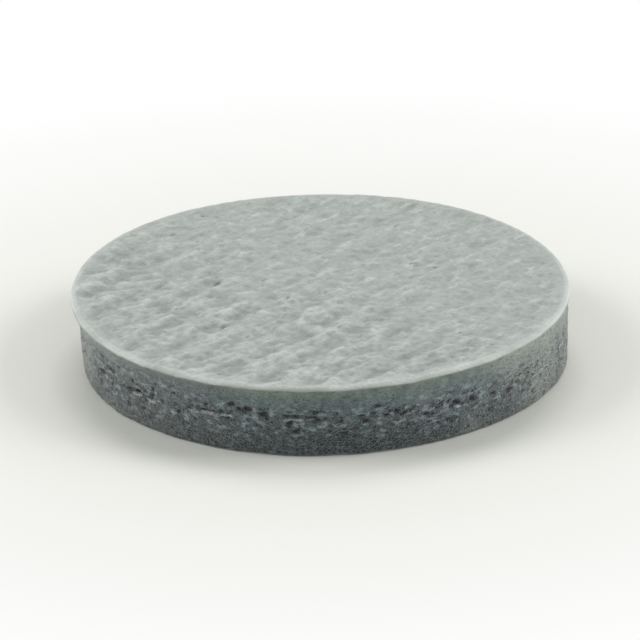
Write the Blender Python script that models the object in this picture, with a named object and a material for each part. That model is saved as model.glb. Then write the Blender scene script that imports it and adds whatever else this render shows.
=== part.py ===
"""A round self-adhesive foam furniture pad, lying as it is stored: adhesive face down, grip face up.

Two pieces: the die-cut foam disc, whose grip face is embossed with low straight ribs, and the thin
adhesive film on its underside. Metres, +Z up and out of the grip face, +X along the ribs, and the
origin at the centre of the adhesive face.
"""

import math

import bmesh
import bpy
from mathutils import Matrix

# The pad as a whole
PAD_DIAMETER = 0.050  # across the rim of the grip face, the widest place
PAD_THICKNESS = 0.0075  # from the adhesive face to the crests of the ribs

# The adhesive film on the underside
FILM_THICKNESS = 0.0002
FILM_SETBACK = 0.0002  # how far the film's edge lies inside the foam's lower edge
BOND_GAP = 0.0003  # from the film up to the foam

# The cut wall, which springs back under the rim after the die has pressed it
RIM_RADIUS = 0.0004  # rounding where the grip face turns over into the wall
WAIST_SETBACK = 0.0005  # how far the wall pulls in just below the rim
WAIST_DROP = 0.0022  # from the rim's rounding down to where the wall has pulled in
FOOT_SETBACK = 0.0007  # how far the wall's lower edge lies inside the rim

# The ribs embossed in the grip face
RIB_PITCH = 0.0039
RIB_HEIGHT = 0.00025
CREST_LAND = 0.0006  # width of the flat along the top of each rib

# Finishes, in linear grey-green and warm grey
FOAM_GREY = (0.41, 0.44, 0.42)
FOAM_ROUGHNESS = 0.8
FILM_GREY = (0.62, 0.63, 0.60)
FILM_ROUGHNESS = 0.25

# Fineness of the mesh
ROUND_STEPS = 96
RIM_STEPS = 4
WAIST_STEPS = 6
FLANK_STEPS = 5
WELD = 1e-6  # points nearer than this are one point
SHARP_TURN = math.radians(35)  # edges that turn by more than this stay crisp

FOAM_BASE = FILM_THICKNESS + BOND_GAP
RIM_EDGE = PAD_DIAMETER / 2
FOOT_EDGE = RIM_EDGE - FOOT_SETBACK
FILM_EDGE = FOOT_EDGE - FILM_SETBACK


def clear_scene():
    for old in list(bpy.data.objects):
        bpy.data.objects.remove(old, do_unlink=True)


def object_of(name, shape):
    """A new object that holds this bmesh."""
    bmesh.ops.recalc_face_normals(shape, faces=shape.faces)
    mesh = bpy.data.meshes.new(name)
    shape.to_mesh(mesh)
    shape.free()
    made = bpy.data.objects.new(name, mesh)
    bpy.context.scene.collection.objects.link(made)
    return made


def finish(piece, material_name, grey, roughness):
    """Smooth shading and a plain material."""
    piece.data.shade_smooth()
    piece.data.set_sharp_from_angle(angle=SHARP_TURN)
    material = bpy.data.materials.new(material_name)
    material.use_nodes = True
    shader = material.node_tree.nodes["Principled BSDF"]
    shader.inputs["Base Color"].default_value = (*grey, 1)
    shader.inputs["Roughness"].default_value = roughness
    shader.inputs["Metallic"].default_value = 0
    piece.data.materials.append(material)


def wall_profile():
    """(radius, height) from the grip face's middle over the rim, down the wall and back to the middle."""
    rim_base = PAD_THICKNESS - RIM_RADIUS
    points = [(0, PAD_THICKNESS)]
    for step in range(RIM_STEPS + 1):
        turn = math.pi / 2 * step / RIM_STEPS
        across = RIM_EDGE - RIM_RADIUS * (1 - math.sin(turn))
        points.append((across, rim_base + RIM_RADIUS * math.cos(turn)))
    for step in range(1, WAIST_STEPS + 1):
        share = step / WAIST_STEPS
        across = RIM_EDGE - WAIST_SETBACK * math.sin(math.pi / 2 * share)
        points.append((across, rim_base - WAIST_DROP * share))
    points.append((FOOT_EDGE, FOAM_BASE))
    points.append((0, FOAM_BASE))
    return points


def turned(profile):
    """The solid that a profile sweeps round the Z axis."""
    shape = bmesh.new()
    corners = [shape.verts.new((across, 0, height)) for across, height in profile]
    edges = [shape.edges.new(pair) for pair in zip(corners, corners[1:])]
    bmesh.ops.spin(
        shape,
        geom=corners + edges,
        axis=(0, 0, 1),
        cent=(0, 0, 0),
        angle=math.tau,
        steps=ROUND_STEPS,
        use_merge=True,
    )
    bmesh.ops.remove_doubles(shape, verts=shape.verts, dist=WELD)
    return shape


def rib_line(half_width):
    """(y, height) across the ribs: a flat crest at y = 0 and at every pitch, with hollows between."""
    flank = (RIB_PITCH - CREST_LAND) / 2
    ribs_each_side = math.ceil(half_width / RIB_PITCH)
    points = []
    for rib in range(-ribs_each_side, ribs_each_side + 1):
        for side in (-1, 1):
            land_edge = rib * RIB_PITCH + side * CREST_LAND / 2
            flank_points = []
            for step in range(FLANK_STEPS + 1):
                share = step / FLANK_STEPS
                fall = RIB_HEIGHT * (1 - math.cos(math.pi * share)) / 2
                flank_points.append((land_edge + side * flank * share, PAD_THICKNESS - fall))
            # A hollow's lowest line is the end of the rib before it, so the next rib starts past it.
            points += reversed(flank_points[:-1]) if side < 0 else flank_points
    return points


def rib_mould():
    """A block whose top is the embossed face, used to trim the foam."""
    reach = RIM_EDGE + RIB_PITCH
    top = rib_line(reach)
    below = FOAM_BASE - PAD_THICKNESS
    outline = top + [(top[-1][0], below), (top[0][0], below)]
    shape = bmesh.new()
    end = shape.faces.new([shape.verts.new((-reach, y, height)) for y, height in outline])
    pushed = bmesh.ops.extrude_face_region(shape, geom=[end])
    far_end = [item for item in pushed["geom"] if isinstance(item, bmesh.types.BMVert)]
    bmesh.ops.translate(shape, verts=far_end, vec=(2 * reach, 0, 0))
    mould = object_of("rib_mould", shape)
    mould.hide_render = True
    mould.display_type = "WIRE"
    return mould


def foam_pad():
    """The foam disc, turned to its cut wall and trimmed to the ribs of its grip face."""
    pad = object_of("foam_pad", turned(wall_profile()))
    finish(pad, "closed_cell_foam", FOAM_GREY, FOAM_ROUGHNESS)
    trim = pad.modifiers.new("embossed_ribs", "BOOLEAN")
    trim.operation = "INTERSECT"
    trim.solver = "EXACT"
    trim.object = rib_mould()


def adhesive_film():
    """The film that sticks the pad to a furniture leg, a plain thin disc under the foam."""
    shape = bmesh.new()
    bmesh.ops.create_cone(
        shape,
        cap_ends=True,
        segments=ROUND_STEPS,
        radius1=FILM_EDGE,
        radius2=FILM_EDGE,
        depth=FILM_THICKNESS,
        matrix=Matrix.Translation((0, 0, FILM_THICKNESS / 2)),
    )
    film = object_of("adhesive_film", shape)
    finish(film, "acrylic_adhesive", FILM_GREY, FILM_ROUGHNESS)


clear_scene()
foam_pad()
adhesive_film()
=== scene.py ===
"""The look of a round foam furniture pad with an embossed grip face, lying on its adhesive film.

Lengths inside the shaping functions are in millimetres, and everything handed to Blender is in
metres. +Z is up, out of the grip face, and +X runs along the ribs.
"""

import math
import random

import bmesh
import bpy
import numpy as np
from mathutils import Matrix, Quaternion, Vector, noise


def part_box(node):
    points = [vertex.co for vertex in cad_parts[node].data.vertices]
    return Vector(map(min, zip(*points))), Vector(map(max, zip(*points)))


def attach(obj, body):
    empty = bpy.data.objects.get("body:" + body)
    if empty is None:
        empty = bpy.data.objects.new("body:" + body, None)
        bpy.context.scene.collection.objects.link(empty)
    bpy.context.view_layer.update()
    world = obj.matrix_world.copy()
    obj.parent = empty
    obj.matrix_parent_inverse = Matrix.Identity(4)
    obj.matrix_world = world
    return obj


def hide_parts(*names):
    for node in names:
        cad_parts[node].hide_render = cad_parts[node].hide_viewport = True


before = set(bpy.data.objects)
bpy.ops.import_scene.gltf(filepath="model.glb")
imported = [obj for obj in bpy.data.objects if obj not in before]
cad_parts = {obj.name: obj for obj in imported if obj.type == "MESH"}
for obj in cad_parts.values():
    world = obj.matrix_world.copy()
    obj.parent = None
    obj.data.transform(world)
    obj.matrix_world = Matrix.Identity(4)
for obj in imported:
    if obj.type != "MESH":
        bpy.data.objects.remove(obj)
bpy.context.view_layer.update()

MM = 0.001

# The view: the photograph's direction and distance, framed on the one pad
PHOTO_SIDE = -50.4  # degrees, the photograph's azimuth
CAMERA_AZIMUTH = math.radians(PHOTO_SIDE)
CAMERA_ELEVATION = math.radians(23.2)
CAMERA_ROLL = math.radians(1.4)
CAMERA_DISTANCE = 590 * MM
PAD_SHARE_OF_FRAME = 0.78
SENSOR_WIDTH = 36  # mm, a full-frame camera's

# The room: white paper under the pad, and square soft panels round it
PAPER = "#E6E7E0"
FLOOR_SIZE = 4  # metres
WHITE_FROM = 27  # mm from the middle, where the paper begins to turn to plain white
WHITE_BY = 75  # mm from the middle, where it is plain white
SURROUND_STRENGTH = 0.35
PANEL_DISTANCE = 1.2  # metres from the pad
PANEL_SIZE = 0.6  # metres
# Each panel's name, degrees round from the photograph's direction, degrees up, and watts
PANELS = (("back_panel", 176, 52, 4.75), ("left_panel", -98, 34, 6.4), ("right_panel", 95, 33, 7.0))

# The pad as the solids have it, in mm
FOAM_LOW, FOAM_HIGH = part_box("foam_pad")
FILM_LOW, FILM_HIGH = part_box("adhesive_film")
TOP = FOAM_HIGH.z / MM
BASE = FILM_HIGH.z / MM  # the dressed foam lies straight on its film
RIM_EDGE = (FOAM_HIGH.x - FOAM_LOW.x) / 2 / MM
RIM_RADIUS = 0.4  # rounding where the grip face turns over into the wall
WAIST_SETBACK = 0.5  # how far the wall pulls in just below the rim
WAIST_DROP = 2.2  # from the rim's rounding down to where it has pulled in
FOOT_SETBACK = 0.7  # how far the wall's lower edge lies inside the rim
FILM_SETBACK = 0.2  # how far the film's edge lies inside the foam's lower edge
RIB_PITCH = 3.9
RIB_HEIGHT = 0.25

# What the die and the foam's own spring leave, in mm
UNDERCUT_SIDE = math.radians(90)  # where the wall is undercut most
UNDERCUT_LEAN = 0.68  # by how large a share more there, and less on the far side
SHOULDER_FALL = 0.06  # how far the grip face sinks towards the rim
SHOULDER_WIDTH = 0.5
SKIN_TUCK = 0.34  # how far down the rim the skin reaches before the cut foam begins
RIM_HIGHLIGHT_WIDTH = 0.15  # of the painted highlight, a thin pale line along the rim
# Rows of lobes round the rim: how many in a row, how far out they reach, and the angle of one in degrees
OUT_OF_ROUND = ((2, 0.11, 80), (3, 0.09, -40), (4, 0.07, 5), (5, 0.05, 5))

# The embossed grip face, in mm: ribs along X, dimples in their hollows, grains, wrinkles and pits
WORN_RIBS = 0.4  # the ribs' strength on the worn side
PRESSED_RIBS = 1.2  # and where they are pressed deepest
PRESSED_FROM = (-4, 8)  # between which, counted against X, the one turns into the other
DIMPLE_PITCH = 4.8
DIMPLE_SHIFT = 1.3  # how far the rows of dimples stray along the ribs
GRAIN_LONG = 2.6
GRAIN_WIDE = 1.7
GRAIN_HEIGHT = 0.12
RIDGE_HEIGHT = 0.10
WRINKLE_HEIGHT = 0.13
FINE_HEIGHT = 0.06
SKIN_SINK = 0.03  # lowers the whole relief, so that few tops rise above the solid's crests
RELIEF_REACH = 1.6  # how far down the wall the embossing is worked out
RELIEF_FADE = (0.1, 1.5)  # between which it fades out down the wall
CALM_RIM = 0.9  # how far in from the rim it is flattened
CALM_SHARE = 0.8  # and how much of it the rim takes away
PLACED_PITS = ((-5.1, 9.1, 0.36, 0.20), (1.8, 20.8, 0.34, 0.16))  # x, y, size and depth of each
PIT_COUNT = 26  # further ones, at random
PIT_FREE_RIM = 1.5  # how far in from the rim these begin
PIT_OPEN = 0.15  # the depth at which a pit looks fully open

# The cut wall, in mm: a torn crease with a lip below it that carries a painted highlight, open pores, and
# two smoother sides that are painted paler as painted light
SMOOTH_PAINTED_LIGHT_SIDE = math.radians(-60)  # the middle of one smoother side painted paler as painted light, and the other is across from it
CREASE_HEIGHT = TOP - 3.75
CREASE_SWAY = 0.45  # how far the crease rises and sinks round the wall
CREASE_WAVES = 3  # how many times it does
CREASE_HIGH_SIDE = math.radians(220)  # where it is highest
CREASE_DEPTH = 0.22
CREASE_WIDTH = 0.12
LIP_DROP = 0.30  # from the crease down to its lip
LIP_WIDTH = 0.14
LIP_HEIGHT = 0.07
PORE_COUNT = 300
PORE_HEIGHT = TOP - 3.7
PORE_SPREAD = 1.1
TORN_SHARE = 0.3  # the share of the pores that lie along the crease
TORN_SPREAD = 0.28  # and how far they stray from it, up and down
PORE_BAND = 1.0  # how far above and below its middle a pore reaches at most
PORE_REACH = 2  # and how far to either side
PORE_OPEN = 0.25  # the depth at which a pore or the crease looks fully open

# The foam's cells, drawn about twice as coarse as the real ones so that they show in the render
SKIN_CELL = 0.5
CUT_CELL = 0.46
CELL_FLATNESS = 1.5  # how much lower than wide the cut cells are
BAND_NARROWS = 0.8  # how much narrower, in mm, the pressed band under the rim is towards +Y
# the colour of the painted highlight along the rim
RIM_HIGHLIGHT_GREY = "#D2D8D3"
FOAM_IOR = 1.45

# Fineness of the meshes
FILM_POINTS = 240
GRIP_SQUARES = 240
WALL_ROWS = 40
ROWS_CROWD_UP = 1.3  # above 1 the wall's rows lie closer together near the rim
RIM_STEPS = 8
WAIST_STEPS = 12
ON_RIM = 0.9999  # a point past this share of the radius lies on the rim or the wall

# The foam's flat layout for baking: an 80 mm square sheet, with the wall in strips
UV_SHEET = 80
UV_MARGIN = 0.6
WALL_STRIPS = 6
BASE_SHRINK = 0.5

SEED_STEP = 7.31  # how far apart in a noise field the places for two seeds lie


def towards(azimuth, elevation):
    """The direction from the object to a camera there, as the turntable counts it."""
    flat = math.cos(elevation)
    return Vector((math.sin(azimuth) * flat, -math.cos(azimuth) * flat, math.sin(elevation)))


def linear(hex_colour):
    """An sRGB hex value as linear red, green, blue and full alpha."""
    shares = [int(hex_colour[i : i + 2], 16) / 255 for i in (1, 3, 5)]
    return (*[s / 12.92 if s <= 0.04045 else ((s + 0.055) / 1.055) ** 2.4 for s in shares], 1.0)


def add(tree, kind, inputs=None, **settings):
    """A new node with its settings.

    An input is a value, a hex colour, a socket, or a node, which stands for its first output. The
    numbered inputs of a MapRange are 0 for the value, 1 and 2 for the range that it comes from, and
    3 and 4 for the range that it goes to.
    """
    made = tree.nodes.new(kind)
    for name, value in settings.items():
        setattr(made, name, value)
    for socket, value in (inputs or {}).items():
        if isinstance(value, bpy.types.Node):
            value = value.outputs[0]
        if isinstance(value, bpy.types.NodeSocket):
            tree.links.new(value, made.inputs[socket])
        else:
            made.inputs[socket].default_value = linear(value) if isinstance(value, str) else value
    return made


def new_material(name):
    """An empty Principled material and its tree and shader."""
    material = bpy.data.materials.new(name)
    material.use_nodes = True
    tree = material.node_tree
    return material, tree, tree.nodes["Principled BSDF"]


def deselect_all():
    """Leave nothing selected, so that the next piece is made by itself."""
    bpy.ops.object.select_all(action="DESELECT")


# Shaping the foam and its film


def ripple(places, grain, seed, along=1.0):
    """Smooth random waves, about -1 to 1, whose humps are grain mm wide and drawn out along X.

    Each seed gives another field of them.
    """
    scale = np.array([1 / (grain * along), 1 / grain, 1 / grain])
    shifted = places * scale + seed * SEED_STEP
    return np.array([noise.noise(place) for place in shifted.tolist()])


def ease(values, start, end):
    """0 before start, 1 after end, and smooth between."""
    share = np.clip((values - start) / (end - start), 0, 1)
    return share * share * (3 - 2 * share)


def sheet_to_disc(places):
    """A square sheet's points, -1 to 1, moved onto a disc of radius 1, each square ring onto a circle."""
    u, v = places[:, 0], places[:, 1]
    by_u = np.abs(u) >= np.abs(v)
    reach = np.where(by_u, u, v)
    other = np.where(by_u, v, u)
    share = np.divide(other, reach, out=np.zeros_like(reach), where=reach != 0)
    turn = np.where(by_u, math.pi / 4 * share, math.pi / 2 - math.pi / 4 * share)
    return reach * np.cos(turn), reach * np.sin(turn)


def foam_blank():
    """A square sheet with its edge pulled down and closed below, ready to be spread into a disc."""
    deselect_all()
    bpy.ops.mesh.primitive_grid_add(x_subdivisions=GRIP_SQUARES, y_subdivisions=GRIP_SQUARES, size=2)
    blank = bpy.context.object
    blank.name = blank.data.name = "foam_pad_dressed"
    bpy.ops.object.mode_set(mode="EDIT")
    bpy.ops.mesh.select_all(action="SELECT")
    bpy.ops.mesh.region_to_loop()
    bpy.ops.mesh.extrude_edges_move(TRANSFORM_OT_translate={"value": (0, 0, -1)})
    bpy.ops.mesh.edge_face_add()
    bpy.ops.mesh.poke()
    bpy.ops.mesh.select_all(action="DESELECT")
    shape = bmesh.from_edit_mesh(blank.data)
    for edge in shape.edges:
        edge.select_set(abs(edge.verts[0].co.z - edge.verts[1].co.z) > 0.5)
    bpy.ops.mesh.subdivide(number_cuts=WALL_ROWS - 1)
    bpy.ops.mesh.select_all(action="SELECT")
    bpy.ops.mesh.normals_make_consistent(inside=False)
    bpy.ops.object.mode_set(mode="OBJECT")
    return blank


def wall_line():
    """(length, setback, drop) along the wall's section, from the grip face's edge to the foam's base."""
    points = []
    for step in range(RIM_STEPS + 1):
        turn = math.pi / 2 * step / RIM_STEPS
        points.append((RIM_RADIUS * (1 - math.sin(turn)), RIM_RADIUS * (1 - math.cos(turn))))
    for step in range(1, WAIST_STEPS + 1):
        share = step / WAIST_STEPS
        points.append((WAIST_SETBACK * math.sin(math.pi / 2 * share), RIM_RADIUS + WAIST_DROP * share))
    points.append((FOOT_SETBACK, TOP - BASE))
    setback, drop = np.array(points).T
    length = np.concatenate([[0], np.cumsum(np.hypot(np.diff(setback), np.diff(drop)))])
    return length, setback, drop


def grain_tops(places, long, wide, seed):
    """0 in the creases between drawn-out grains, rising to 1 on their tops."""
    scaled = places / (long, wide, 1) + seed * SEED_STEP
    gaps = [near[1] - near[0] for near in (noise.voronoi(place)[0] for place in scaled.tolist())]
    return ease(np.array(gaps), 0, 0.45)


def grip_relief(places):
    """How far the embossed skin lies above the crests' level, in mm, so mostly below zero."""
    wander = np.zeros((len(places), 3))
    wander[:, 0] = 0.9 * ripple(places, 3.4, 1)
    wander[:, 1] = 0.6 * ripple(places, 12, 2) + 0.42 * ripple(places, 3.2, 3)
    moved = places + wander
    turn = math.tau * moved[:, 1] / RIB_PITCH
    hollow = (1 - np.cos(turn)) / 2
    pressed = ease(-places[:, 0], *PRESSED_FROM)
    strength = WORN_RIBS + (PRESSED_RIBS - WORN_RIBS) * pressed + 0.35 * ripple(places, 9, 4)
    strength = np.clip(strength, 0.2, 2)
    row = np.floor(moved[:, 1] / RIB_PITCH)
    along = moved[:, 0] + DIMPLE_PITCH / 2 * (row % 2) + DIMPLE_SHIFT * np.sin(2.4 * row)
    dimple = (1 + np.cos(math.tau * along / DIMPLE_PITCH)) / 2
    relief = -RIB_HEIGHT * strength * (0.5 * hollow + 0.55 * hollow**2 * dimple)
    wrinkled = 0.95 + 0.3 * pressed
    relief -= GRAIN_HEIGHT * wrinkled * (1 - grain_tops(moved, GRAIN_LONG, GRAIN_WIDE, 5))
    ridge = np.clip(1 - 3 * np.abs(ripple(moved, 2.4, 9, along=1.9)), 0, 1)
    relief += RIDGE_HEIGHT * wrinkled * (ridge - 0.4)
    relief += WRINKLE_HEIGHT * wrinkled * ripple(places, 1.8, 6, along=1.4)
    relief += WRINKLE_HEIGHT * wrinkled * ripple(places, 0.85, 7)
    relief += FINE_HEIGHT * ripple(places, 0.5, 8)
    return relief - SKIN_SINK


def crease_height(angle):
    """How high the torn crease runs there, in mm, in even waves round the wall."""
    return CREASE_HEIGHT + CREASE_SWAY * np.cos(CREASE_WAVES * (angle - CREASE_HIGH_SIDE))


def wall_pores(places, angle, height):
    """The larger open pores of the cut wall as relief in mm, drawn at random round it."""
    draw = random.Random(31)
    aside_warp = 0.22 * ripple(places, 0.5, 41)
    up_warp = 0.12 * ripple(places, 0.45, 42)
    relief = np.zeros(len(angle))
    for pore in range(PORE_COUNT):
        on_crease = pore < PORE_COUNT * TORN_SHARE
        at_angle = draw.uniform(-math.pi, math.pi)
        if on_crease:
            at_height = draw.gauss(crease_height(at_angle), TORN_SPREAD)
        else:
            at_height = draw.gauss(PORE_HEIGHT, PORE_SPREAD)
        half_high = 0.10 + (0.22 if on_crease else 0.17) * draw.random() ** 2
        half_wide = half_high * draw.uniform(1.2, 3.0)
        deep = draw.uniform(0.12, 0.45)
        lean = draw.uniform(-0.3, 0.3)
        band = np.nonzero(np.abs(height - at_height) < PORE_BAND)[0]
        aside = ((angle[band] - at_angle + math.pi) % math.tau - math.pi) * RIM_EDGE
        near = np.abs(aside) < PORE_REACH
        band = band[near]
        aside = aside[near] + aside_warp[band]
        up = height[band] + up_warp[band] - at_height - lean * aside
        off = (aside / half_wide) ** 2 + (up / half_high) ** 2
        relief[band] = np.minimum(relief[band], -deep * np.exp(-off))
    return relief


def wall_crease(places, angle, height):
    """The torn line near mid-height as (relief in mm, painted highlight on its lip 0 to 1)."""
    along = np.stack([np.cos(angle), np.sin(angle), np.zeros_like(angle)], axis=1) * RIM_EDGE
    line = crease_height(angle) + 0.5 * ripple(along, 9, 21) + 0.12 * ripple(along, 1.6, 22)
    torn = ease(ripple(along, 2.6, 23) + 0.25 * ripple(along, 0.8, 24), -0.22, 0.18)
    torn *= 0.6 + 0.4 * ease(ripple(along, 14, 25), -0.35, 0.1)
    cut = np.exp(-(((height - line) / CREASE_WIDTH) ** 2)) * torn
    lip = np.exp(-(((height - line + LIP_DROP) / LIP_WIDTH) ** 2)) * torn
    lip *= ease(ripple(places, 0.7, 26), -0.35, 0.2)
    return LIP_HEIGHT * lip - CREASE_DEPTH * cut, lip


def wall_relief(places, angle, height):
    """(relief along the wall's outward normal in mm, how open 0 to 1, painted highlight on the crease's
    lip 0 to 1).
    """
    coarse = ease(TOP - height, 1.1, 2.6)
    rough = 0.3 + 0.7 * coarse
    relief = 0.09 * rough * ripple(places * (1, 1, 1.8), 0.9, 11)
    relief += 0.05 * rough * ripple(places * (1, 1, 1.5), 0.42, 13)
    relief += 0.10 * ripple(places * (1, 1, 1.6), 3.2, 12)
    pores = wall_pores(places, angle, height)
    pores *= ease(TOP - height, 1.7, 2.7) * ease(height, BASE, BASE + 0.3)
    torn, lip = wall_crease(places, angle, height)
    openness = np.clip(-(pores + np.minimum(torn, 0)) / PORE_OPEN, 0, 1)
    return relief + pores + torn, openness, lip * coarse


def add_attribute(mesh, name, values):
    """Store a value at each point of the mesh, for the materials to read."""
    layer = mesh.attributes.new(name, "FLOAT", "POINT")
    layer.data.foreach_set("value", values.astype(np.float32))


def grip_pits(places):
    """Small pits in the skin where a bubble broke it, as relief in mm."""
    draw = random.Random(5)
    found = list(PLACED_PITS)
    for _ in range(PIT_COUNT):
        far = (RIM_EDGE - PIT_FREE_RIM) * math.sqrt(draw.random())
        turn = draw.uniform(0, math.tau)
        size = draw.uniform(0.14, 0.30)
        found.append((far * math.cos(turn), far * math.sin(turn), size, 0.45 * size))
    relief = np.zeros(len(places))
    for x, y, size, deep in found:
        off = ((places[:, 0] - x) / (1.5 * size)) ** 2 + ((places[:, 1] - y) / size) ** 2
        relief = np.minimum(relief, -deep * np.exp(-1.8 * off**1.5))
    return relief


def lay_out_for_baking(mesh, places, angle, down, wall_length):
    """The foam's own UV map: the grip face, the wall in strips beside it, and the base small above."""
    corner = np.empty(len(mesh.loops), np.int32)
    mesh.loops.foreach_get("vertex_index", corner)
    size = np.empty(len(mesh.polygons), np.int32)
    mesh.polygons.foreach_get("loop_total", size)
    start = np.concatenate([[0], np.cumsum(size)[:-1]])
    top_edge = np.minimum.reduceat(down[corner], start)
    low_edge = np.maximum.reduceat(down[corner], start)
    on_base = np.repeat(top_edge > wall_length - 0.01, size)
    on_wall = np.repeat(low_edge > 0.001, size) & ~on_base

    east = np.add.reduceat(np.cos(angle[corner]), start)
    north = np.add.reduceat(np.sin(angle[corner]), start)
    face_angle = np.arctan2(north, east)
    turn = math.tau / WALL_STRIPS
    strip = np.repeat(np.floor((face_angle + math.pi) / turn).clip(0, WALL_STRIPS - 1), size)
    middle = np.repeat(face_angle, size)
    from_middle = (angle[corner] - middle + math.pi) % math.tau - math.pi
    along = (middle + math.pi - strip * turn + from_middle) * RIM_EDGE

    reach = RIM_EDGE + UV_MARGIN
    flat = places[corner][:, :2] + reach
    turned_over = places[corner][:, :2] * (-BASE_SHRINK, BASE_SHRINK)
    small = turned_over + (BASE_SHRINK * reach, UV_SHEET - BASE_SHRINK * reach)
    up = (strip + 1) * (wall_length + UV_MARGIN) - down[corner]
    beside = np.stack([2 * reach + along, up], axis=1)
    spots = np.where(on_wall[:, None], beside, np.where(on_base[:, None], small, flat)) / UV_SHEET
    mesh.uv_layers.remove(mesh.uv_layers[0])
    layer = mesh.uv_layers.new(name="OFBake")
    layer.data.foreach_set("uv", spots.astype(np.float32).ravel())


def out_of_round(angle):
    """How far the die's cut strays outward from a circle, in mm: a few broad lobes."""
    return sum(high * np.cos(lobes * (angle - math.radians(side))) for lobes, high, side in OUT_OF_ROUND)


def undercut(angle):
    """How much more or less than its usual setback the wall pulls in there, as a factor."""
    return 1 + UNDERCUT_LEAN * np.cos(angle - UNDERCUT_SIDE)


def emboss(places, inside, fall, centre):
    """Press the grip face's relief into its points, and return how open its pits are, 0 to 1."""
    upper = (fall < RELIEF_REACH) & ~centre
    relief = np.zeros(len(places))
    relief[upper] = grip_relief(places[upper] * (1, 1, 0))
    pits = grip_pits(places[upper])
    relief[upper] += pits
    hole = np.zeros(len(places))
    hole[upper] = np.clip(-pits / PIT_OPEN, 0, 1)
    on_face = 1 - ease(fall, *RELIEF_FADE)
    relief *= on_face
    relief *= 1 - CALM_SHARE * np.exp(-((inside / CALM_RIM) ** 2))
    shoulder = SHOULDER_FALL * np.exp(-inside / SHOULDER_WIDTH) * on_face
    places[:, 2] += relief - shoulder
    return hole


def roughen_wall(places, angle, fall, wall, smooth_sides_painted_light, hole):
    """Move the wall's points by its relief, open its holes, and return the painted highlight on its
    crease's lip, 0 to 1.
    """
    cut, pore, lip = wall_relief(places[wall], angle[wall], places[wall][:, 2])
    cut *= ease(fall[wall], 0.1, 0.7) * (1 - 0.5 * smooth_sides_painted_light[wall])
    places[wall, 0] += cut * np.cos(angle[wall])
    places[wall, 1] += cut * np.sin(angle[wall])
    pore *= ease(fall[wall], 0.25, 0.9) * (1 - 0.6 * smooth_sides_painted_light[wall])
    hole[wall] = np.maximum(hole[wall], pore)
    lip_highlight = np.zeros(len(places))
    lip_highlight[wall] = lip
    return lip_highlight


def painted_rim_highlight(places, inside, fall):
    """How strongly the painted highlight, a thin pale line along the rim, shows, 0 to about 1."""
    line = np.exp(-((inside / RIM_HIGHLIGHT_WIDTH) ** 2))
    line *= 0.45 + 0.55 * ease(fall, 0, 0.12)
    line *= 1 - ease(fall, 0.22, 0.5)
    return line * (0.8 + 0.5 * ripple(places, 3, 52))


def shaped_foam():
    """The die-cut foam disc with its embossed grip face and its open-celled cut wall."""
    blank = foam_blank()
    mesh = blank.data
    flat = np.empty(len(mesh.vertices) * 3)
    mesh.vertices.foreach_get("co", flat)
    flat = flat.reshape(-1, 3)
    x, y = sheet_to_disc(flat)
    share = -flat[:, 2]
    reach = np.hypot(x, y)
    angle = np.arctan2(y, x)
    wall = reach > ON_RIM
    centre = (share > 0.5) & ~wall

    length, setback, drop = wall_line()
    at = share**ROWS_CROWD_UP * length[-1]
    inset = np.interp(at, length, setback)
    fall = np.interp(at, length, drop)
    inset *= 1 + (undercut(angle) - 1) * ease(fall, 0.2, 2.5)
    radius = np.where(wall, RIM_EDGE - inset, reach * (RIM_EDGE - RIM_RADIUS))
    radius = radius + out_of_round(angle) * reach**4
    places = np.stack([radius * np.cos(angle), radius * np.sin(angle), TOP - fall], axis=1)
    places[centre] = (0, 0, BASE)

    inside = (1 - reach) * RIM_EDGE
    hole = emboss(places, inside, fall, centre)
    # two opposite sides: smoother in shape, and painted paler as painted light where light grazes them
    smooth_sides_painted_light = ease(np.abs(np.cos(angle - SMOOTH_PAINTED_LIGHT_SIDE)) + 0.3 * ripple(places, 5, 51), 0.6, 1.05)
    lip_highlight = roughen_wall(places, angle, fall, wall, smooth_sides_painted_light, hole)
    # the thin pale line along the rim is a painted highlight
    rim = painted_rim_highlight(places, inside, fall)

    mesh.vertices.foreach_set("co", (places * MM).ravel())
    add_attribute(mesh, "hole", hole)
    add_attribute(mesh, "lip_highlight", lip_highlight)
    add_attribute(mesh, "rim", rim)
    add_attribute(mesh, "smooth_sides_painted_light", smooth_sides_painted_light)
    lay_out_for_baking(mesh, places, angle, at, length[-1])
    mesh.materials.append(foam_skin())
    mesh.materials.append(foam_cut())
    is_cut = fall > SKIN_TUCK
    cut_faces = np.zeros(len(mesh.polygons), np.int32)
    for face in mesh.polygons:
        cut_faces[face.index] = all(is_cut[corner] for corner in face.vertices)
    mesh.polygons.foreach_set("material_index", cut_faces)
    mesh.update()
    mesh.shade_smooth()
    return blank


def cut_film():
    """The adhesive film, cut by the same stroke as the foam and a little inside its lower edge."""
    deselect_all()
    low = (0, 0, FILM_LOW.z)
    thickness = FILM_HIGH.z - FILM_LOW.z
    bpy.ops.mesh.primitive_circle_add(
        vertices=FILM_POINTS,
        radius=RIM_EDGE * MM,
        fill_type="NGON",
        location=low,
    )
    film = bpy.context.object
    film.name = film.data.name = "adhesive_film_dressed"
    bpy.ops.object.transform_apply(location=True)
    for corner in film.data.vertices:
        angle = math.atan2(corner.co.y, corner.co.x)
        reach = RIM_EDGE + out_of_round(angle) - FOOT_SETBACK * undercut(angle) - FILM_SETBACK
        corner.co.x = reach * math.cos(angle) * MM
        corner.co.y = reach * math.sin(angle) * MM
    bpy.ops.object.mode_set(mode="EDIT")
    bpy.ops.mesh.select_all(action="SELECT")
    bpy.ops.mesh.extrude_region_move(TRANSFORM_OT_translate={"value": (0, 0, thickness)})
    bpy.ops.mesh.select_all(action="SELECT")
    bpy.ops.mesh.normals_make_consistent(inside=False)
    bpy.ops.object.mode_set(mode="OBJECT")
    film.data.materials.append(clean_film())
    return film


# Materials


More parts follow.
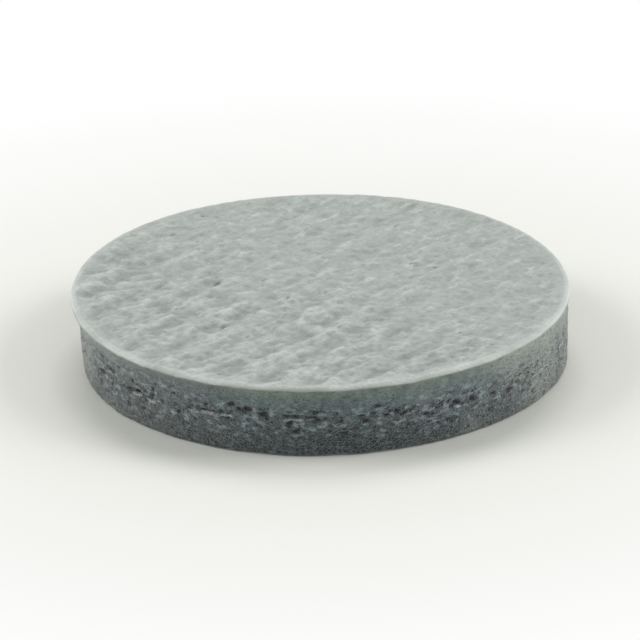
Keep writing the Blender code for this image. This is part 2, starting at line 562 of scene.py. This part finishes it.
def mottle(tree, place, size, low, high, most=1.0):
    """Random patches about size mm wide, as a share that goes from 0 to most."""
    inputs = {"Vector": place, "Scale": 1 / (size * MM), "Detail": 3.0}
    random_field = add(tree, "ShaderNodeTexNoise", inputs)
    return add(tree, "ShaderNodeMapRange", {0: random_field, 1: low, 2: high, 4: most})


def cells(tree, place, width, flatness=1.0):
    """(tone, edge): a random number for each foam cell, and how far off its wall is, 0 to about 0.5."""
    flat = add(tree, "ShaderNodeMapping", {"Vector": place, "Scale": (1, 1, flatness)})
    inputs = {"Vector": flat, "Scale": 1 / (width * MM)}
    cell = add(tree, "ShaderNodeTexVoronoi", inputs)
    tone = add(tree, "ShaderNodeSeparateColor", {0: cell.outputs["Color"]})
    edge = add(tree, "ShaderNodeTexVoronoi", inputs, feature="DISTANCE_TO_EDGE")
    return tone.outputs[0], edge.outputs["Distance"]


def layered(tree, colour, coats):
    """A colour under coats of others, each given as (how much of it shows, its colour)."""
    for share, coat in coats:
        mix = add(tree, "ShaderNodeMix", {0: share, 6: colour, 7: coat}, data_type="RGBA")
        colour = mix.outputs[2]
    return colour


def foam_skin():
    """Closed-cell EVA foam with the skin of its embossing roller.

    The eye gets a matt, pale, faintly green grey. It is painted lighter on the crests of the ribs and
    darker in the hollows, which is painted shade of the relief, and more even on the worn side. A thin
    painted highlight runs along the rim. Pale strokes, which are painted glints, and dark strokes run
    along the ribs, the pits are painted dark as shade, and the cells just show through as a fine grain.
    """
    material, tree, shader = new_material("eva_foam_embossed_skin")
    place = add(tree, "ShaderNodeTexCoord").outputs["Object"]
    along = add(tree, "ShaderNodeSeparateXYZ", {0: place}).outputs
    # painted shade: by its height in the relief, the skin is painted darker in the hollows and lighter on
    # the crests
    relief_range = {0: along["Z"], 1: (TOP - 0.38) * MM, 2: (TOP + 0.06) * MM}
    painted_relief_shade = add(tree, "ShaderNodeMapRange", relief_range)
    worn = add(tree, "ShaderNodeMapRange", {0: along["X"], 1: -8 * MM, 2: 4 * MM, 4: 0.5})
    rim = add(tree, "ShaderNodeAttribute", attribute_name="rim").outputs["Fac"]
    hole = add(tree, "ShaderNodeAttribute", attribute_name="hole").outputs["Fac"]
    hole = add(tree, "ShaderNodeMapRange", {0: hole, 1: 0.1, 4: 0.8})
    tone, edge = cells(tree, place, SKIN_CELL)
    specks = add(tree, "ShaderNodeMapRange", {0: tone, 1: 0.55, 2: 1.0, 4: 0.25})
    strokes = add(tree, "ShaderNodeMapping", {"Vector": place, "Scale": (0.5, 1, 1)})
    colour = layered(tree, "#909692", [
        (painted_relief_shade, "#BFC5C0"),
        (worn, "#9DA39F"),
        (mottle(tree, place, 7, 0.35, 0.65, 0.35), "#9FA6A3"),
        (mottle(tree, strokes, 0.9, 0.52, 0.70, 0.55), "#8F9591"),
        # painted glints: pale strokes along the ribs where their ridges would catch the light
        (mottle(tree, strokes, 1.1, 0.56, 0.68, 0.5), "#C6CCC7"),
        (mottle(tree, place, 0.4, 0.50, 0.70, 0.4), "#8F9591"),
        (specks, "#868C89"),
        # painted highlight along the rim
        (rim, RIM_HIGHLIGHT_GREY),
        # painted shade: the pits are darker the deeper they are open
        (hole, "#4C5351"),
    ])
    domes = add(tree, "ShaderNodeMapRange", {0: edge, 1: 0.0, 2: 0.3})
    inputs = {"Vector": place, "Scale": 1 / (0.22 * MM), "Detail": 3.0}
    fine = add(tree, "ShaderNodeTexNoise", inputs)
    rough = add(tree, "ShaderNodeMath", {0: domes, 1: fine}, operation="ADD")
    bump = add(tree, "ShaderNodeBump", {"Height": rough, "Distance": 0.03 * MM, "Strength": 1.0})
    tree.links.new(colour, shader.inputs["Base Color"])
    tree.links.new(bump.outputs[0], shader.inputs["Normal"])
    shader.inputs["Roughness"].default_value = 0.72
    shader.inputs["IOR"].default_value = FOAM_IOR
    return material


def foam_cut():
    """The same foam cut through with a die.

    The eye gets a darker, bluer grey than the skin's, because the open cells trap the light: dark cups
    with pale walls, drawn-out flecks and hollows, and a line of torn pores painted dark as shade, with a
    painted highlight on the lips below them. Under the rim, where the die pressed the cells shut, runs a
    smoother, greener band. It is narrower towards +Y, where the wall is a little warmer too. Towards the
    foot the wall is darker, in part painted shade where it meets the floor. Two opposite sides are
    smoother and painted paler, painted light for how light grazes them, and the sheen is the light
    that thin torn cell walls catch.
    """
    material, tree, shader = new_material("eva_foam_die_cut")
    place = add(tree, "ShaderNodeTexCoord").outputs["Object"]
    along = add(tree, "ShaderNodeSeparateXYZ", {0: place}).outputs
    height = along["Z"]
    sway = add(tree, "ShaderNodeTexNoise", {"Vector": place, "Scale": 1 / (0.5 * MM)}).outputs["Color"]
    sway_by = (0.3 * MM, 0.3 * MM, 0.2 * MM)
    sway = add(tree, "ShaderNodeVectorMath", {0: sway, 1: sway_by}, operation="MULTIPLY")
    swayed = add(tree, "ShaderNodeVectorMath", {0: place, 1: sway}).outputs[0]

    less_pressed = add(tree, "ShaderNodeMapRange", {0: along["Y"], 1: -12 * MM, 2: 2 * MM})
    lowered = {0: less_pressed, 1: -BAND_NARROWS * MM, 2: height}
    band_height = add(tree, "ShaderNodeMath", lowered, operation="MULTIPLY_ADD")
    band_foot = {0: band_height, 1: (TOP - 1.5) * MM, 2: (TOP - 3.0) * MM, 3: 0.12}
    opened = add(tree, "ShaderNodeMapRange", band_foot)

    tone, edge = cells(tree, swayed, CUT_CELL, CELL_FLATNESS)
    cups = add(tree, "ShaderNodeMapRange", {0: tone, 1: 0.5, 4: 0.95})
    cups = add(tree, "ShaderNodeMath", {0: cups, 1: opened}, operation="MULTIPLY")
    inside = add(tree, "ShaderNodeMapRange", {0: edge, 2: 0.16})
    cups = add(tree, "ShaderNodeMath", {0: cups, 1: inside}, operation="MULTIPLY")
    walls = add(tree, "ShaderNodeMapRange", {0: edge, 2: 0.10, 3: 0.55, 4: 0.0})
    walls = add(tree, "ShaderNodeMath", {0: walls, 1: opened}, operation="MULTIPLY")
    fine_tone, fine_edge = cells(tree, swayed, CUT_CELL / 2, CELL_FLATNESS)
    fine_cups = add(tree, "ShaderNodeMapRange", {0: fine_tone, 1: 0.4, 4: 0.6})
    fine_inside = add(tree, "ShaderNodeMapRange", {0: fine_edge, 2: 0.2})
    fine_cups = add(tree, "ShaderNodeMath", {0: fine_cups, 1: fine_inside}, operation="MULTIPLY")

    drawn_out = add(tree, "ShaderNodeMapping", {"Vector": swayed, "Scale": (1, 1, 1.9)})
    flecks = mottle(tree, drawn_out, 0.8, 0.54, 0.64, 0.75)
    flecks = add(tree, "ShaderNodeMath", {0: flecks, 1: opened}, operation="MULTIPLY")
    # the pale flecks fade out towards the foot, along with the painted shade there
    off_foot = {0: height, 1: (BASE + 0.8) * MM, 2: (BASE + 2.6) * MM, 3: 0.35}
    lit = add(tree, "ShaderNodeMapRange", off_foot)
    flecks = add(tree, "ShaderNodeMath", {0: flecks, 1: lit}, operation="MULTIPLY")
    hollows = mottle(tree, drawn_out, 1.2, 0.50, 0.62, 0.7)
    hollows = add(tree, "ShaderNodeMath", {0: hollows, 1: opened}, operation="MULTIPLY")
    torn = add(tree, "ShaderNodeAttribute", attribute_name="hole").outputs["Fac"]
    torn = add(tree, "ShaderNodeMapRange", {0: torn, 1: 0.15, 2: 0.75, 4: 0.92})
    # the painted highlight on the torn crease's lip
    lip = add(tree, "ShaderNodeAttribute", attribute_name="lip_highlight").outputs["Fac"]
    lip = add(tree, "ShaderNodeMapRange", {0: lip, 1: 0.2, 2: 0.8, 4: 0.85})

    lower_range = {0: height, 1: (BASE + 0.7) * MM, 2: (TOP - 2.0) * MM}
    lower = add(tree, "ShaderNodeMapRange", lower_range)
    upper_range = {0: band_height, 1: (TOP - 2.2) * MM, 2: (TOP - 0.3) * MM}
    upper = add(tree, "ShaderNodeMapRange", upper_range)
    warmer = add(tree, "ShaderNodeMath", {0: less_pressed, 1: 0.4}, operation="MULTIPLY")
    # the two opposite sides painted paler, painted light where light grazes them
    smooth_sides_painted_light = add(tree, "ShaderNodeAttribute", attribute_name="smooth_sides_painted_light").outputs["Fac"]
    smooth_sides_painted_light = add(tree, "ShaderNodeMapRange", {0: smooth_sides_painted_light, 4: 0.55})
    rim = add(tree, "ShaderNodeAttribute", attribute_name="rim").outputs["Fac"]
    colour = layered(tree, "#262F36", [
        # the wall is darkest at its foot and lightens upwards, in part painted shade where it meets the
        # floor
        (lower, "#788A8E"),
        (upper, "#8B998A"),
        (mottle(tree, place, 1.2, 0.35, 0.65, 0.5), "#4C575A"),
        (hollows, "#3A454B"),
        (warmer, "#66625E"),
        # painted light: the two opposite sides painted paler
        (smooth_sides_painted_light, "#B9BEB2"),
        (walls, "#A3AEAC"),
        (fine_cups, "#465053"),
        (cups, "#2B3235"),
        (flecks, "#A2B3B9"),
        # painted shade: the open pores and torn crease are darker the deeper they are open
        (torn, "#222729"),
        # painted highlight on the lip below the torn crease
        (lip, "#C2C9C7"),
        # painted highlight along the rim, carried down its rounding
        (rim, RIM_HIGHLIGHT_GREY),
    ])
    deepest = add(tree, "ShaderNodeMath", {0: cups, 1: fine_cups}, operation="MAXIMUM")
    depth = add(tree, "ShaderNodeMath", {0: walls, 1: deepest}, operation="SUBTRACT")
    bump = add(tree, "ShaderNodeBump", {"Height": depth, "Distance": 0.12 * MM, "Strength": 1.0})
    tree.links.new(colour, shader.inputs["Base Color"])
    tree.links.new(bump.outputs[0], shader.inputs["Normal"])
    shader.inputs["Roughness"].default_value = 0.9
    shader.inputs["IOR"].default_value = FOAM_IOR
    shader.inputs["Sheen Weight"].default_value = 0.4
    shader.inputs["Sheen Roughness"].default_value = 0.5
    return material


def clean_film():
    """Clear acrylic adhesive, coated on the foam's flat side.

    The eye gets the foam's grey through a wet-looking skin with a soft orange peel, paler where the film
    bridges a cell and hasn't wetted the foam.
    """
    material, tree, shader = new_material("acrylic_adhesive_film")
    place = add(tree, "ShaderNodeTexCoord").outputs["Object"]
    tone = cells(tree, place, CUT_CELL)[0]
    bridged = add(tree, "ShaderNodeMapRange", {0: tone, 1: 0.6, 4: 0.45})
    colour = layered(tree, "#8F9692", [
        (mottle(tree, place, 6, 0.40, 0.62, 0.6), "#9DA39F"),
        (bridged, "#B7BCB8"),
    ])
    peel = add(tree, "ShaderNodeTexNoise", {"Vector": place, "Scale": 1 / (1.3 * MM), "Detail": 2.0})
    bump = add(tree, "ShaderNodeBump", {"Height": peel, "Distance": 0.08 * MM, "Strength": 1.0})
    tree.links.new(colour, shader.inputs["Base Color"])
    tree.links.new(mottle(tree, place, 9, 0.35, 0.65, 0.4).outputs[0], shader.inputs["Roughness"])
    tree.links.new(bump.outputs[0], shader.inputs["Normal"])
    shader.inputs["IOR"].default_value = 1.47
    return material


# The room


def seen_share(tree):
    """1 for rays from the camera and for mirror-like and clear rays, 0 for rays that light things."""
    rays = add(tree, "ShaderNodeLightPath").outputs
    share = rays["Is Camera Ray"]
    for other in ("Is Glossy Ray", "Is Transmission Ray"):
        share = add(tree, "ShaderNodeMath", {0: share, 1: rays[other]}, operation="MAXIMUM").outputs[0]
    return share


def white_paper():
    """Matt white paper that keeps the pad's shadow and turns to plain white further off."""
    material, tree, shader = new_material("matt_white_paper")
    shader.inputs["Base Color"].default_value = linear(PAPER)
    shader.inputs["Roughness"].default_value = 0.95
    shader.inputs["Specular IOR Level"].default_value = 0.1
    place = add(tree, "ShaderNodeTexCoord").outputs["Object"]
    away = add(tree, "ShaderNodeVectorMath", {0: place}, operation="LENGTH").outputs["Value"]
    far = add(tree, "ShaderNodeMapRange", {0: away, 1: WHITE_FROM * MM, 2: WHITE_BY * MM})
    share = add(tree, "ShaderNodeMath", {0: far, 1: seen_share(tree)}, operation="MULTIPLY")
    glow = add(tree, "ShaderNodeEmission", {"Color": "#FFFFFF", "Strength": 1.0})
    mixed = add(tree, "ShaderNodeMixShader", {0: share, 1: shader, 2: glow})
    tree.links.new(mixed.outputs[0], tree.nodes["Material Output"].inputs["Surface"])
    return material


def pale_floor():
    """A wide floor of white paper under the pad."""
    deselect_all()
    bpy.ops.mesh.primitive_plane_add(size=FLOOR_SIZE)
    floor = bpy.context.object
    floor.name = "floor"
    floor.data.materials.append(white_paper())


def light_panel(name, azimuth, elevation, power):
    """A square soft light that faces the pad, placed as the turntable counts directions."""
    lamp = bpy.data.lights.new(name, "AREA")
    lamp.shape = "SQUARE"
    lamp.size = PANEL_SIZE
    lamp.energy = power
    stand = bpy.data.objects.new(name, lamp)
    bpy.context.scene.collection.objects.link(stand)
    back = towards(math.radians(azimuth), math.radians(elevation))
    stand.location = back * PANEL_DISTANCE
    stand.rotation_mode = "QUATERNION"
    stand.rotation_quaternion = (-back).to_track_quat("-Z", "Y")


def soft_light():
    """A white tent: soft panels behind the pad and at both its sides, and a dim surround.

    The camera sees the surround as plain white.
    """
    world = bpy.data.worlds.new("tent")
    bpy.context.scene.world = world
    world.use_nodes = True
    tree = world.node_tree
    lit = tree.nodes["Background"]
    lit.inputs["Color"].default_value = (1, 1, 1, 1)
    lit.inputs["Strength"].default_value = SURROUND_STRENGTH
    seen = add(tree, "ShaderNodeBackground", {"Color": "#FFFFFF", "Strength": 1.0})
    mixed = add(tree, "ShaderNodeMixShader", {0: seen_share(tree), 1: lit, 2: seen})
    tree.links.new(mixed.outputs[0], tree.nodes["World Output"].inputs["Surface"])
    for name, round_from_photo, elevation, power in PANELS:
        light_panel(name, PHOTO_SIDE + round_from_photo, elevation, power)


def photo_camera():
    """The camera at the photograph's direction and distance, turned and zoomed to frame the pad."""
    camera = bpy.data.cameras.new("camera")
    camera.sensor_width = SENSOR_WIDTH
    half_view = RIM_EDGE * MM / CAMERA_DISTANCE / PAD_SHARE_OF_FRAME
    camera.lens = SENSOR_WIDTH / 2 / half_view
    stand = bpy.data.objects.new("camera", camera)
    bpy.context.scene.collection.objects.link(stand)
    back = towards(CAMERA_AZIMUTH, CAMERA_ELEVATION)
    aim = Vector((0, 0, TOP / 2 * MM))
    stand.location = aim + back * CAMERA_DISTANCE
    stand.rotation_mode = "QUATERNION"
    roll = Quaternion((0, 0, 1), -CAMERA_ROLL)
    stand.rotation_quaternion = (-back).to_track_quat("-Z", "Y") @ roll
    bpy.context.scene.camera = stand


photo_camera()
pale_floor()
soft_light()
foam = shaped_foam()
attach(foam, "root")
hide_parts("foam_pad")
film = cut_film()
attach(film, "root")
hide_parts("adhesive_film")
bpy.context.scene.view_settings.view_transform = "Standard"
